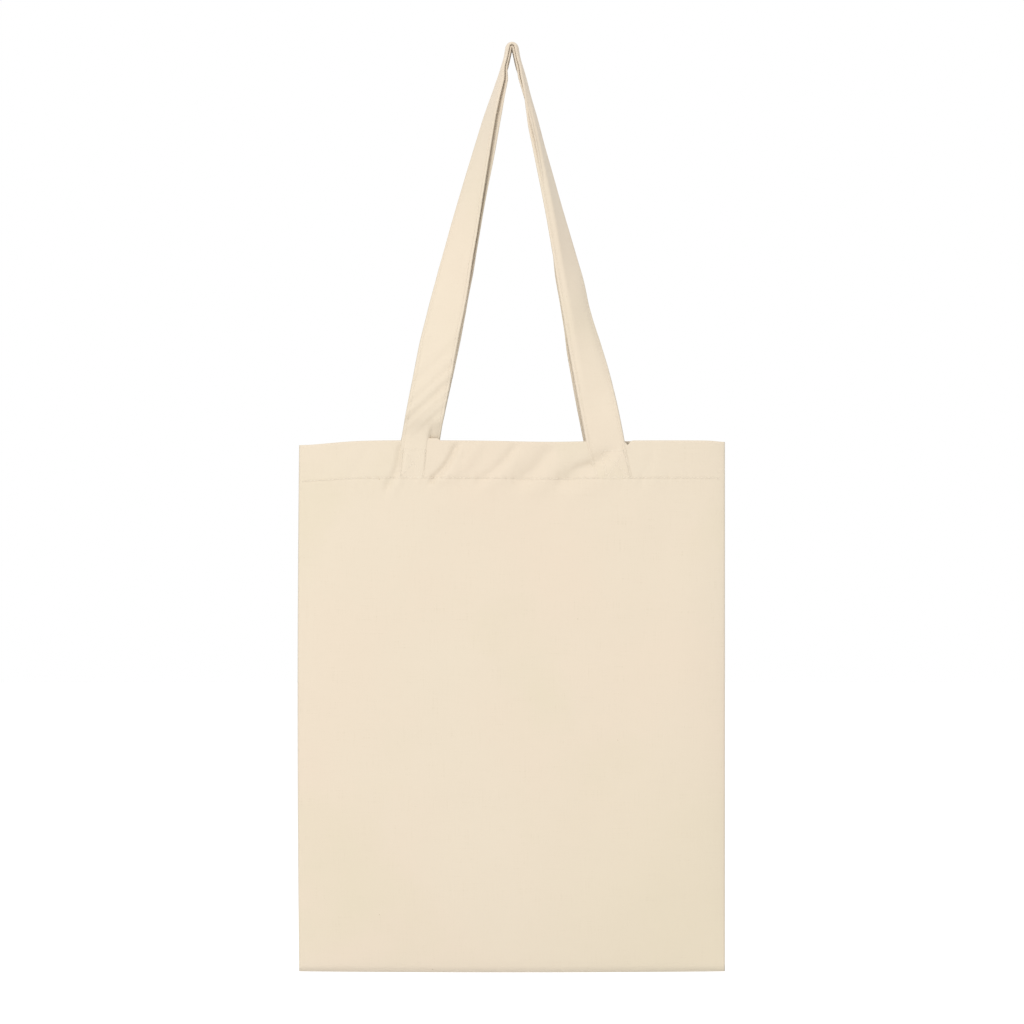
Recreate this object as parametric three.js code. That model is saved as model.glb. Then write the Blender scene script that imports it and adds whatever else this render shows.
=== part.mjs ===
// Cotton canvas tote bag with two long handles, hung by both handles over one thin peg.
// Millimetres. +X is to the right, +Y to the back, +Z up. The origin is on top of the peg,
// under the middle of the handles, so the front of the bag faces -Y and hangs below z = 0.

import * as THREE from 'three';

// ---- Driving dimensions ----

const bagWidth = 340;
const bagHeight = 424;
const handleDrop = 315; // from the peg down to the mouth's edge
const bellyDepth = 12; // how far each wall stands away from the middle plane
const flatHalfWidth = 100; // the walls are flat between plus and minus this
const bellyRise = 130; // above the bottom seam, the walls reach their full depth here
const clothThickness = 0.7;
const seamHalfGap = 1; // half the room for the seam allowances between the two walls
const clearance = 0.3; // between cloths that touch

const hemHeight = 29;
const hemThickness = 1.4; // the turned-in band is two layers of cloth
const hemEndMargin = 14; // the band stops this far short of the edge, where the walls come together

const handleWidth = 30;
const handleThickness = 1.5; // a strip folded into four layers and pressed
const handleEndLength = 33; // the stretch that is sewn down on the hem
const frontSpread = { left: 73, right: 74.2 }; // from the middle to each leg at the mouth
const backSpread = { left: 74.2, right: 73 };
const endSlant = { left: 5, right: 13 }; // how far each sewn end leans, in degrees
const frontLean = 14; // how far a leg leans where it meets the bend on the peg, in degrees
const backLean = 13.4;
const pegRadius = 2.2;
const apexOffset = 2; // the two handles lie this far from the middle plane on the peg
const drawIn = 2.2; // above 1, the two handles close up sooner than along straight lines
const twist = {
  left: { start: 0.18, finish: 1, ease: 1.25 },
  right: { start: 0.04, finish: 0.754, ease: 1.3 },
}; // each leg turns from facing forwards to lying flat on the peg, over these shares of its rise

const allowanceWidth = 9;
const allowanceThickness = 1.2;
const edgeMargin = 1.5; // from the fold at the edge of the bag in to the seam allowance
const threadSize = 0.4;
const handleStitchInset = 2.5; // from the edge of a handle to its row of stitching
const handleStitchLift = 0.5; // off the twisted face of a handle
const crossStitchWidth = 24;
const crossStitchHeight = 24;
const crossStitchRow = 0.9; // the width of one row in the sewn cross

// ---- Derived values ----

const mouthZ = -handleDrop;
const bottomZ = mouthZ - bagHeight;
const halfWidth = bagWidth / 2;
const wallInside = seamHalfGap + bellyDepth; // from the middle plane to the inside of a flat wall
const hemReach = halfWidth - hemEndMargin;
const handleInside = wallInside + clothThickness + clearance;
const handleMiddle = handleInside + handleThickness / 2;

// ---- Materials ----

const canvas = new THREE.MeshStandardMaterial({ color: 0xefe1c9, roughness: 0.92, metalness: 0 });
const thread = new THREE.MeshStandardMaterial({ color: 0xf1e6d2, roughness: 0.75, metalness: 0 });

const bag = new THREE.Group();

// ---- Helpers ----

// A box is cut into segments, and place(u, v, w), each from 0 to 1, says where each point goes.
// u, v and w run along right-handed directions, so the faces keep pointing outwards.
function bentBox(name, material, segments, place) {
  const geometry = new THREE.BoxGeometry(1, 1, 1, ...segments);
  const position = geometry.attributes.position;
  for (let i = 0; i < position.count; i += 1) {
    const point = place(position.getX(i) + 0.5, position.getY(i) + 0.5, position.getZ(i) + 0.5);
    position.setXYZ(i, point.x, point.y, point.z);
  }
  geometry.computeVertexNormals();
  const mesh = new THREE.Mesh(geometry, material);
  mesh.name = name;
  bag.add(mesh);
  return mesh;
}

const mix = THREE.MathUtils.lerp;
const clamp = THREE.MathUtils.clamp;
const radians = THREE.MathUtils.degToRad;

function easeInOut(t) {
  return 0.5 - 0.5 * Math.cos(Math.PI * clamp(t, 0, 1));
}

// How far the inside of a wall stands from the middle plane. It is full in the flat middle, and
// closes towards both side seams and the bottom seam.
function wallDepth(x, z) {
  const sideways = easeInOut((halfWidth - Math.abs(x)) / (halfWidth - flatHalfWidth));
  const upwards = easeInOut((z - bottomZ) / bellyRise);
  return seamHalfGap + bellyDepth * sideways * upwards;
}

// Cuts are counted from the middle of the bag: the flat part, then the curved margin as far as the
// end of the hem, then one more to the edge of the bag.
const flatCuts = 2;
const hemCuts = 6;
const panelCuts = 7;

function acrossBag(cut) {
  const count = Math.abs(cut);
  let x = flatHalfWidth * (count / flatCuts);
  if (count > hemCuts) {
    x = mix(hemReach, halfWidth, (count - hemCuts) / (panelCuts - hemCuts));
  } else if (count > flatCuts) {
    x = mix(flatHalfWidth, hemReach, (count - flatCuts) / (hemCuts - flatCuts));
  }
  return Math.sign(cut) * x;
}

// Most of the cuts up the bag fall in the curved part near the bottom.
function upBag(w) {
  const curvedShare = 0.75;
  return w < curvedShare
    ? mix(bottomZ, bottomZ + bellyRise, w / curvedShare)
    : mix(bottomZ + bellyRise, mouthZ, (w - curvedShare) / (1 - curvedShare));
}

// ---- The bag's two walls ----

// facing is -1 for the front and 1 for the back. cuts is how many cuts the layer reaches each way.
function wallLayer(name, material, facing, near, thickness, cuts, upCuts, up) {
  return bentBox(name, material, [2 * cuts, 1, upCuts], (u, v, w) => {
    const x = acrossBag((2 * u - 1) * cuts);
    const z = up(w);
    const outwards = facing > 0 ? v : 1 - v;
    return { x, y: facing * (wallDepth(x, z) + near + thickness * outwards), z };
  });
}

function panel(side, facing) {
  wallLayer(`${side}_panel`, canvas, facing, 0, clothThickness, panelCuts, 8, upBag);
}

// The turned-in top band lies against the inside of the wall, and stops short of the side seams.
function hem(side, facing) {
  const inwards = -(clearance + hemThickness);
  const up = (w) => mouthZ - hemHeight * (1 - w);
  wallLayer(`${side}_hem`, canvas, facing, inwards, hemThickness, hemCuts, 1, up);
}

// The row of stitching that holds the hem runs round the outside, just under the handles' ends.
function hemStitch(side, facing) {
  const outwards = clothThickness + clearance;
  const up = (w) => mouthZ - handleEndLength - clearance - threadSize * (2 - w);
  wallLayer(`${side}_hem_stitch`, thread, facing, outwards, threadSize, hemCuts, 1, up);
}

// ---- The seam allowances ----

function sideSeam(name, side) {
  const outer = halfWidth - edgeMargin;
  bentBox(name, canvas, [1, 1, 1], (u, v, w) => ({
    x: side * outer + (side > 0 ? u - 1 : u) * allowanceWidth,
    y: (v - 0.5) * allowanceThickness,
    z: mix(bottomZ + allowanceWidth + edgeMargin + clearance, mouthZ - edgeMargin, w),
  }));
}

function bottomSeam() {
  bentBox('bottom_seam', canvas, [1, 1, 1], (u, v, w) => ({
    x: (2 * u - 1) * (halfWidth - edgeMargin),
    y: (v - 0.5) * allowanceThickness,
    z: bottomZ + edgeMargin + allowanceWidth * w,
  }));
}

// ---- The handles ----

// The middle line of one handle, seen from the front: a leg up from the mouth, the bend over the
// peg and a leg back down. The legs bow outwards a little, and meet the bend without a corner.
function handleLine(spread, lean, bendRadius) {
  const angle = radians(lean);
  const bendZ = -pegRadius;
  const endX = bendRadius * Math.cos(angle);
  const endZ = bendZ + bendRadius * Math.sin(angle);
  const halfRise = (endZ - mouthZ) / 2;
  const controlX = endX + halfRise * Math.tan(angle);
  const controlZ = endZ - halfRise;
  const bottom = mouthZ + clearance / 2;
  const leftLeg = new THREE.QuadraticBezierCurve(
    new THREE.Vector2(-spread.left, bottom),
    new THREE.Vector2(-controlX, controlZ),
    new THREE.Vector2(-endX, endZ),
  );
  const bend = new THREE.EllipseCurve(0, bendZ, bendRadius, bendRadius, Math.PI - angle, angle, true);
  const rightLeg = new THREE.QuadraticBezierCurve(
    new THREE.Vector2(endX, endZ),
    new THREE.Vector2(controlX, controlZ),
    new THREE.Vector2(spread.right, bottom),
  );
  return [leftLeg, bend, rightLeg];
}

// Twenty cuts fall in each leg and eight in the bend.
const legCuts = 20;
const bendCuts = 8;
const handleCuts = 2 * legCuts + bendCuts;

function alongHandle(line, cut) {
  if (cut <= legCuts) {
    return { curve: line[0], t: cut / legCuts };
  }
  if (cut <= legCuts + bendCuts) {
    return { curve: line[1], t: (cut - legCuts) / bendCuts };
  }
  return { curve: line[2], t: (cut - legCuts - bendCuts) / legCuts };
}

// A strip along the handle: from low to high across its width, and from near to far off its face.
// It leaves out the first and last few cuts, as skipped says.
function handleStrip(name, material, facing, shape, skipped, low, high, near, far) {
  const line = handleLine(shape.spread, shape.lean, shape.bendRadius);
  const cuts = handleCuts - 2 * skipped;
  return bentBox(name, material, [cuts, 1, 1], (u, v, w) => {
    const { curve, t } = alongHandle(line, skipped + u * cuts);
    const centre = curve.getPoint(t);
    const along = curve.getTangent(t);
    const rise = clamp((centre.y - mouthZ) / (-mouthZ), 0, 1);
    const leg = centre.x < 0 ? twist.left : twist.right;
    const turned = clamp((rise - leg.start) / (leg.finish - leg.start), 0, 1);
    const turn = radians(90) * (1 - (1 - turned) ** leg.ease);
    // The strip's width stays level on the legs. inwards is the flat normal, into the loop.
    const inwards = new THREE.Vector3(along.y, 0, -along.x);
    const level = Math.sign(along.y) || 0;
    const widthX = (Math.cos(turn) * level) / Math.cos(radians(shape.lean));
    const across = new THREE.Vector3(widthX, -Math.sin(turn), 0);
    const face = inwards.multiplyScalar(-Math.sin(turn)).add(new THREE.Vector3(0, -Math.cos(turn), 0));
    const middleY = facing * mix(apexOffset, handleMiddle, (1 - rise) ** drawIn);
    return new THREE.Vector3(centre.x, middleY, centre.y)
      .addScaledVector(across, mix(low, high, w))
      .addScaledVector(face, mix(near, far, v));
  });
}

function handle(side, facing, shape) {
  const half = handleThickness / 2;
  const edge = handleWidth / 2;
  handleStrip(`${side}_handle`, canvas, facing, shape, 0, -edge, edge, -half, half);
  // The rows of stitching show on the face that points away from the bag. They start one cut above
  // the mouth, so that they clear the sewn ends when the handle folds down.
  const near = half + handleStitchLift;
  const far = near + threadSize;
  const stitch = edge - handleStitchInset;
  const [low, high] = facing < 0 ? [near, far] : [-far, -near];
  const rows = { outer: -stitch, inner: stitch };
  for (const [name, at] of Object.entries(rows)) {
    const from = at - threadSize / 2;
    const to = at + threadSize / 2;
    handleStrip(`${side}_handle_${name}_stitch`, thread, facing, shape, 1, from, to, low, high);
  }
}

// The end of a leg, sewn flat on the outside of the hem. It leans with the pull of the leg.
function handleEnd(side, facing, leg, sideways, spread) {
  const slope = Math.tan(radians(endSlant[leg]));
  bentBox(`${side}_${leg}_handle_end`, canvas, [1, 1, 1], (u, v, w) => {
    const below = clearance / 2 + (1 - w) * handleEndLength;
    return {
      x: sideways * (spread + below * slope) + (u - 0.5) * handleWidth,
      y: facing * handleMiddle + (v - 0.5) * handleThickness,
      z: mouthZ - below,
    };
  });
}

// A box of stitching with a cross in it: a flat plate with four three-cornered holes.
function crossStitch(side, facing, leg, sideways, spread) {
  const a = crossStitchWidth / 2;
  const b = crossStitchHeight / 2;
  const row = crossStitchRow;
  const plate = new THREE.Shape([
    new THREE.Vector2(-a, -b),
    new THREE.Vector2(a, -b),
    new THREE.Vector2(a, b),
    new THREE.Vector2(-a, b),
  ]);
  for (let quarter = 0; quarter < 4; quarter += 1) {
    const upright = quarter % 2 === 0;
    const [reach, half] = upright ? [b - row, a - row] : [a - row, b - row];
    const tip = new THREE.Vector2(0, row);
    const corner = new THREE.Vector2(half - row, reach);
    const far = new THREE.Vector2(-(half - row), reach);
    const triangle = [tip, corner, far].map((p) => {
      return p.rotateAround(new THREE.Vector2(0, 0), (quarter * Math.PI) / 2);
    });
    plate.holes.push(new THREE.Path(triangle));
  }
  const geometry = new THREE.ExtrudeGeometry(plate, { depth: threadSize, bevelEnabled: false });
  geometry.rotateX(Math.PI / 2);
  const mesh = new THREE.Mesh(geometry, thread);
  const drop = handleEndLength / 2 + 1;
  const slant = radians(endSlant[leg]);
  mesh.name = `${side}_${leg}_cross_stitch`;
  const off = handleInside + handleThickness + clearance + (facing < 0 ? 0 : threadSize);
  mesh.position.set(sideways * (spread + drop * Math.tan(slant)), facing * off, mouthZ - drop);
  mesh.rotation.y = -sideways * slant;
  bag.add(mesh);
}

// ---- Assembly ----

const handleShapes = {
  front: {
    spread: frontSpread,
    lean: frontLean,
    bendRadius: pegRadius + handleThickness * 1.5 + clearance,
  },
  back: { spread: backSpread, lean: backLean, bendRadius: pegRadius + handleThickness / 2 },
};

sideSeam('left_side_seam', -1);
sideSeam('right_side_seam', 1);
bottomSeam();

for (const [side, facing] of [['front', -1], ['back', 1]]) {
  const shape = handleShapes[side];
  panel(side, facing);
  hem(side, facing);
  hemStitch(side, facing);
  for (const [leg, sideways] of [['left', -1], ['right', 1]]) {
    handleEnd(side, facing, leg, sideways, shape.spread[leg]);
    crossStitch(side, facing, leg, sideways, shape.spread[leg]);
  }
  handle(side, facing, shape);
}

export default bag;
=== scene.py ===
# %% [markdown]
# # A cotton tote bag, hanging by its handles
#
# This lesson makes a plain, undyed cotton tote. The real bag is sewn from four pieces of cloth: two
# panels and two handle strips. Everything else on it is thread and folded edges, so most of what
# makes it look real is in how the cloth turns over, where it is stitched, and how it pulls.
#
# The size and the moving bodies come from a CAD model, which is loaded first and never changed.

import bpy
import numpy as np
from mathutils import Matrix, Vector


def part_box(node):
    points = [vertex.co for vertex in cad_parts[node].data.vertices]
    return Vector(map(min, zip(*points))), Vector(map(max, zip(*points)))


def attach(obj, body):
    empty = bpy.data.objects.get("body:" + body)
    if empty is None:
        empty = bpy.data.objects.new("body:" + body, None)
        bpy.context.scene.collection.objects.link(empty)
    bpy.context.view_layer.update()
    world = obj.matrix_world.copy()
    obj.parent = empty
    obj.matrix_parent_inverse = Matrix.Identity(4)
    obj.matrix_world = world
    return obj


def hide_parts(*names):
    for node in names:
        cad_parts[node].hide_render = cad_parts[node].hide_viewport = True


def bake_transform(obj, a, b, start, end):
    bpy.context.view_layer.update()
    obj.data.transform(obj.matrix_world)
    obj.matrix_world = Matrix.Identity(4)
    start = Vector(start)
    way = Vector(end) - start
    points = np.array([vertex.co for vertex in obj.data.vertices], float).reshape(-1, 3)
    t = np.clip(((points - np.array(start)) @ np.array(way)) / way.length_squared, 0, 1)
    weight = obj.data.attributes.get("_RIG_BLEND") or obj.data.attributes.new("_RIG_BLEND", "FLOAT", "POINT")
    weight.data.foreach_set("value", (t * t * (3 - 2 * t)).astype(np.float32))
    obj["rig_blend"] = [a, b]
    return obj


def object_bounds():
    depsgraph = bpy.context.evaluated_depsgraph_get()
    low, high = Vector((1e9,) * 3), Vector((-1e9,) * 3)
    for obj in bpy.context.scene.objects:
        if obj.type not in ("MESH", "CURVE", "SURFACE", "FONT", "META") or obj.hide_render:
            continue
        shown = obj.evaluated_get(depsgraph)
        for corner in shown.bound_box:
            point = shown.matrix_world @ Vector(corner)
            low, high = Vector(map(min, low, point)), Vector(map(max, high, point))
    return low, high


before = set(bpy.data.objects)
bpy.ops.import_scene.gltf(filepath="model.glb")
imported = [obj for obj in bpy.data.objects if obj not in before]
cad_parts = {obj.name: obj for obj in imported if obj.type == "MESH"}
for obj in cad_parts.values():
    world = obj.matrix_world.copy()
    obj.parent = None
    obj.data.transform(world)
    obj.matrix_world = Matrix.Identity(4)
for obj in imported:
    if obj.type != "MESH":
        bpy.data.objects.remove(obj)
cad_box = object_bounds()

# %% Tools
import math

import bmesh
import bpy
import numpy as np
from mathutils import Matrix, Vector, noise

# %% [markdown]
# ## Measures
#
# Everything is in metres. The outline of the bag is read from the CAD nodes, so the cloth lands
# where the frame says. Thicknesses and folds are named here, because cloth is thinner and softer
# than the solids that stand for it.

# %% Measures
MM = 0.001

panel_low, panel_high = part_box("front_panel")
hem_low, hem_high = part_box("front_hem")
end_low, end_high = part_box("front_left_handle_end")

HALF_WIDTH = panel_high.x
BOTTOM = panel_low.z
MOUTH = panel_high.z
HEIGHT = MOUTH - BOTTOM
HEM = hem_high.z - hem_low.z
FLAT_HALF = 100 * MM  # the walls are nearly flat between plus and minus this

CLOTH = 0.62 * MM  # one layer of cotton
STRAP_HALF = 15 * MM  # half the width of a strap
STRAP_THICK = end_high.y - end_low.y
END_LENGTH = MOUTH - end_low.z
print(f"bag {2000 * HALF_WIDTH:.0f} x {1000 * HEIGHT:.0f} mm, hem {1000 * HEM:.0f} mm")

# %% [markdown]
# ## The shape of a wall
#
# A hanging bag is a lofted shell: closed at the sides and the bottom, and open at the mouth. One
# function says how far the cloth stands from the middle plane at each place. The panels, the
# stitching and the sewn ends of the handles all ask it, so they stay together.
#
# The soft shape is a squared-off dome. Broad, shallow folds are added to it, then the short creases
# that slant across the hem, where the handles drag the cloth.

# %% Small helpers for curves


def smooth(t):
    """Rises from 0 to 1 without a corner at either end."""
    t = np.clip(t, 0.0, 1.0)
    return t * t * (3 - 2 * t)


def bump(distance, width):
    """A rounded ridge, 1 in the middle and nothing a few widths away."""
    return np.exp(-((distance / width) ** 2))


def soft_noise(x, z, size, seed):
    """Smooth, repeatable noise over a wall, from about -0.5 to 0.5."""
    x, z = np.broadcast_arrays(x, z)
    flat = [
        noise.noise(Vector((a / size, seed * 7.31, b / size)))
        for a, b in zip(x.ravel(), z.ravel())
    ]
    return np.array(flat).reshape(x.shape)


# %% Creases
# Each crease runs from its upper end to its lower end. Places are measured in millimetres from the
# middle of the mouth: across, then down. Depth is how far the valley sinks, and width how wide it is.
FRONT_CREASES = [
    {"top": (-46, 7), "low": (-62, 29), "width": 2.6, "depth": 2.2},
    {"top": (-28, 5), "low": (-48, 28), "width": 4.5, "depth": -0.9},
    {"top": (1, 6), "low": (-24, 30), "width": 3.6, "depth": 1.4},
    {"top": (28, 9), "low": (7, 30), "width": 6.0, "depth": 2.1},
    {"top": (78, 9), "low": (54, 20), "width": 3.2, "depth": 1.2},
    {"top": (72, 13), "low": (40, 31), "width": 6.5, "depth": 2.3},
    {"top": (-89, 8), "low": (-98, 34), "width": 2.8, "depth": 1.9},
    {"top": (-116, 8), "low": (-130, 27), "width": 5.0, "depth": 0.4},
    {"top": (-140, 7), "low": (-153, 25), "width": 5.0, "depth": 0.4},
    {"top": (112, 6), "low": (103, 34), "width": 4.0, "depth": 0.5},
]
BACK_CREASES = [
    {"top": (-42, 5), "low": (-60, 31), "width": 3.6, "depth": 1.0},
    {"top": (-14, 7), "low": (-30, 30), "width": 5.5, "depth": 0.6},
    {"top": (16, 6), "low": (28, 30), "width": 5.0, "depth": 0.7},
    {"top": (43, 5), "low": (60, 31), "width": 3.4, "depth": 1.1},
    {"top": (93, 8), "low": (103, 33), "width": 3.5, "depth": 0.7},
    {"top": (-92, 8), "low": (-104, 33), "width": 4.0, "depth": 0.6},
]


def crease_depth(x, z, creases):
    """How far the creases sink the cloth. Each is a valley with a lower ridge along its right side."""
    total = np.zeros(np.broadcast(x, z).shape)
    for crease in creases:
        ax, az = crease["top"][0] * MM, MOUTH - crease["top"][1] * MM
        bx, bz = crease["low"][0] * MM, MOUTH - crease["low"][1] * MM
        dx, dz = bx - ax, bz - az
        length = math.hypot(dx, dz)
        along = ((x - ax) * dx + (z - az) * dz) / length
        across = ((x - ax) * -dz + (z - az) * dx) / length
        bow = 2.0 * MM * np.sin(np.pi * np.clip(along / length, 0, 1))
        across = across - bow
        width = crease["width"] * MM
        beyond = np.maximum(np.maximum(-along, along - length), 0)
        fade = bump(beyond, 7 * MM)
        valley = bump(across, width) - 0.45 * bump(across - 2.1 * width, 1.5 * width)
        total = total + crease["depth"] * MM * valley * fade
    return total


# %% The depth of a wall
BELLY = 11.0 * MM  # how far a wall stands out in the middle
EDGE_ROUND = 1.1 * MM  # radius of the turn at the seams
EDGE_GAP = 0.35 * MM  # between the middle plane and a wall, right at the seams
LOW_RISE = 120 * MM  # the belly grows over this height above the bottom seam
BROAD_FOLD, BROAD_SIZE = 3.4 * MM, 150 * MM  # depth and size of the slow folds
FINE_FOLD, FINE_SIZE = 0.9 * MM, 42 * MM  # and of the small dents in them
LONG_VALLEY, VALLEY_AT, VALLEY_WIDTH = 1.6 * MM, 104 * MM, 26 * MM  # below the right handle
STITCHED, GATHERED = 0.25 * MM, 0.22 * MM  # how far the hem's row of stitches pulls the cloth in

WALLS = {
    "front": {"facing": -1, "creases": FRONT_CREASES, "seed": 1.0},
    "back": {"facing": 1, "creases": BACK_CREASES, "seed": 2.0},
}


def wall_depth(side, x, z):
    """Distance from the middle plane to the middle of the cloth."""
    wall = WALLS[side]
    across = np.clip(np.abs(x) / HALF_WIDTH, 0, 1)
    height = np.clip((z - BOTTOM) / LOW_RISE, 0, 1)
    sideways = (1 - across**4) ** 0.75
    upwards = (1 - (1 - height) ** 2.6) ** 0.8
    belly = BELLY * sideways * upwards

    edge = np.minimum(HALF_WIDTH - np.abs(x), np.maximum(z - BOTTOM, 0))
    nearness = 1 - np.clip(edge / EDGE_ROUND, 0, 1)
    rounding = EDGE_ROUND * np.sqrt(np.maximum(1 - nearness**2, 0))

    free = sideways * smooth((z - BOTTOM) / (60 * MM))
    broad = BROAD_FOLD * soft_noise(x, z, BROAD_SIZE, wall["seed"])
    fine = FINE_FOLD * soft_noise(x, z, FINE_SIZE, wall["seed"] + 5)
    valley = -LONG_VALLEY * bump(x - VALLEY_AT - 0.12 * (z - MOUTH + 0.2), VALLEY_WIDTH)
    below = MOUTH - z
    valley = valley * smooth((below - 20 * MM) / (60 * MM)) * smooth((330 * MM - below) / (120 * MM))
    folds = free * (broad + fine + (valley if side == "front" else 0))

    stitched = STITCHED * bump(below - (HEM + 0.5 * MM), 1.4 * MM)
    gathers = GATHERED * np.sin(x / (1.15 * MM)) * bump(below - HEM, 4 * MM)
    creases = crease_depth(x, z, wall["creases"])
    return EDGE_GAP + rounding + belly + folds - free * (stitched + gathers + creases)


print("depth of the front, middle and side:", wall_depth("front", np.array([0, 0.15]), -0.5))

# %% [markdown]
# ## The outline
#
# Cloth never hangs as a perfect rectangle. The sides bow a little, one top corner droops, and the
# mouth sags between the handles. These small moves are made in the plane of the wall.

# %% The outline
LEFT_DROOP, RIGHT_DROOP = 3.6 * MM, 1.0 * MM  # of the two top corners
SAG = 1.2 * MM  # of the mouth, between the handles
SIDE_BOW, BOTTOM_BOW = 1.2 * MM, 0.8 * MM


def settle(x, z):
    """Moves places on a wall to where they hang."""
    up = np.clip((z - BOTTOM) / HEIGHT, 0, 1)
    top = smooth((up - 0.8) / 0.2)
    left_droop = -LEFT_DROOP * bump(x + HALF_WIDTH, 34 * MM)
    right_droop = -RIGHT_DROOP * bump(x - HALF_WIDTH, 9 * MM)
    sag = -SAG * bump(x - 30 * MM, 45 * MM)
    hung_z = z + top * (left_droop + right_droop + sag)
    side = x / HALF_WIDTH
    bow = SIDE_BOW * np.sin(np.pi * up) * np.clip(-side, 0, 1) ** 3
    low = BOTTOM_BOW * (1 - side**2) * (1 - up) ** 12
    return x - bow, hung_z - low


# %% [markdown]
# ## A sheet from a grid
#
# A panel is one flat piece of cloth, so it starts as a flat grid, made by a bmesh operator. Each
# point of the grid is then moved to where that bit of cloth hangs. The same flat places become the
# UV map, in metres, so the weave keeps its true size wherever the cloth turns.

# %% A helper for pieces


def new_piece(name, bm, material):
    """Turns a bmesh into a smooth-shaded object at the origin."""
    mesh = bpy.data.meshes.new(name)
    bm.to_mesh(mesh)
    bm.free()
    mesh.materials.append(material)
    mesh.shade_smooth()
    piece = bpy.data.objects.new(name, mesh)
    bpy.context.scene.collection.objects.link(piece)
    return piece


def bent_grid(columns, rows, place, flat):
    """A grid whose point (u, v), from 0 to 1 each way, goes to place(u, v), with flat(u, v) as UV."""
    bm = bmesh.new()
    uv_layer = bm.loops.layers.uv.new("UVMap")
    bmesh.ops.create_grid(bm, x_segments=columns, y_segments=rows, size=0.5)
    bm.verts.ensure_lookup_table()
    grid = np.array([(v.co.x + 0.5, v.co.y + 0.5) for v in bm.verts])
    u, v = grid[:, 0], grid[:, 1]
    at = np.stack(np.broadcast_arrays(*place(u, v)), axis=1)
    laid = np.stack(np.broadcast_arrays(*flat(u, v)), axis=1)
    for vert, co in zip(bm.verts, at):
        vert.co = co
    for face in bm.faces:
        for loop in face.loops:
            loop[uv_layer].uv = laid[loop.vert.index]
    return bm


# %% [markdown]
# ## Cloth
#
# Undyed cotton is a plain weave: each yarn goes over one and under the next. Its height has a neat
# formula. Two sine waves give the yarns, and their product says which one is on top. Real yarn is
# spun unevenly, so a little noise shifts the waves, and longer streaks vary the tone and thickness.
# A few brown specks of seed are left in cloth that hasn't been bleached.
#
# The pattern reads the piece's own UV map, in metres, so it follows every fold. The steady values,
# such as the sheen, are set on the shader's own sockets.

# %% Small helpers for node trees


class Nodes:
    """Adds nodes to a material, and links plain values or other nodes' outputs to their inputs."""

    def __init__(self, material):
        material.use_nodes = True
        self.tree = material.node_tree
        self.tree.nodes.clear()

    def add(self, kind, inputs=None, **settings):
        node = self.tree.nodes.new(kind)
        for key, value in settings.items():
            setattr(node, key, value)
        for key, value in (inputs or {}).items():
            if isinstance(value, bpy.types.NodeSocket):
                self.tree.links.new(value, node.inputs[key])
            else:
                node.inputs[key].default_value = value
        return node

    def math(self, operation, a, b=0.0, c=0.0):
        node = self.add("ShaderNodeMath", {0: a, 1: b, 2: c}, operation=operation)
        return node.outputs[0]

    def mix(self, factor, a, b):
        node = self.add("ShaderNodeMix", {0: factor, 6: a, 7: b}, data_type="RGBA")
        return node.outputs[2]

    def noise(self, vector, scale, detail=2.0):
        inputs = {"Vector": vector, "Scale": scale, "Detail": detail}
        return self.add("ShaderNodeTexNoise", inputs).outputs["Fac"]

    def ramp(self, value, low, high):
        inputs = {"Value": value, "From Min": low, "From Max": high}
        return self.add("ShaderNodeMapRange", inputs).outputs["Result"]


def colour(red, green, blue):
    return (red, green, blue, 1.0)


# %% The height of the yarns
YARN = 0.62 * MM  # from one yarn to the next
UNEVEN = 1.6 * YARN  # how far noise shifts the yarns


def weave_height(nodes, uv):
    """The plain weave, from 0 between the yarns to 1 on top of them."""
    drift = nodes.add("ShaderNodeTexNoise", {"Vector": uv, "Scale": 90.0, "Detail": 1.0})
    shift = nodes.add("ShaderNodeVectorMath", {0: drift.outputs["Color"]}, operation="SCALE")
    shift.inputs["Scale"].default_value = UNEVEN
    moved = nodes.add("ShaderNodeVectorMath", {0: uv, 1: shift.outputs[0]}, operation="ADD")
    xyz = nodes.add("ShaderNodeSeparateXYZ", {0: moved.outputs[0]})
    warp = nodes.math("SINE", nodes.math("MULTIPLY", xyz.outputs["X"], math.pi / YARN))
    weft = nodes.math("SINE", nodes.math("MULTIPLY", xyz.outputs["Y"], math.pi / YARN))
    over = nodes.math("MULTIPLY", warp, weft)
    warp_height = nodes.math("ADD", nodes.math("ABSOLUTE", warp), over)
    weft_height = nodes.math("SUBTRACT", nodes.math("ABSOLUTE", weft), over)
    return nodes.math("MULTIPLY", nodes.math("MAXIMUM", warp_height, weft_height), 0.5)


def slub_height(nodes, flat):
    """Long streaks both ways, where the yarns are spun thicker or thinner."""
    streaks = []
    for along, across, seed in ((40.0, 1400.0, 0.0), (1400.0, 40.0, 9.0)):
        x = nodes.math("MULTIPLY", flat.outputs["X"], across)
        y = nodes.math("MULTIPLY", flat.outputs["Y"], along)
        place = nodes.add("ShaderNodeCombineXYZ", {"X": x, "Y": y, "Z": seed}).outputs[0]
        streaks.append(nodes.noise(place, 1.0))
    return nodes.math("MULTIPLY", nodes.math("ADD", streaks[0], streaks[1]), 0.5)


# %% The colour of the cloth
# Each shade is a share of the cloth's own tone: a little pinker, a little greener, or deeper.
PINKER = (1.01, 0.985, 0.985, 1.0)
GREENER = (0.965, 0.975, 0.94, 1.0)
DEEPER = (0.90, 0.885, 0.85, 1.0)
SEED_BROWN = colour(0.20, 0.12, 0.05)


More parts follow.
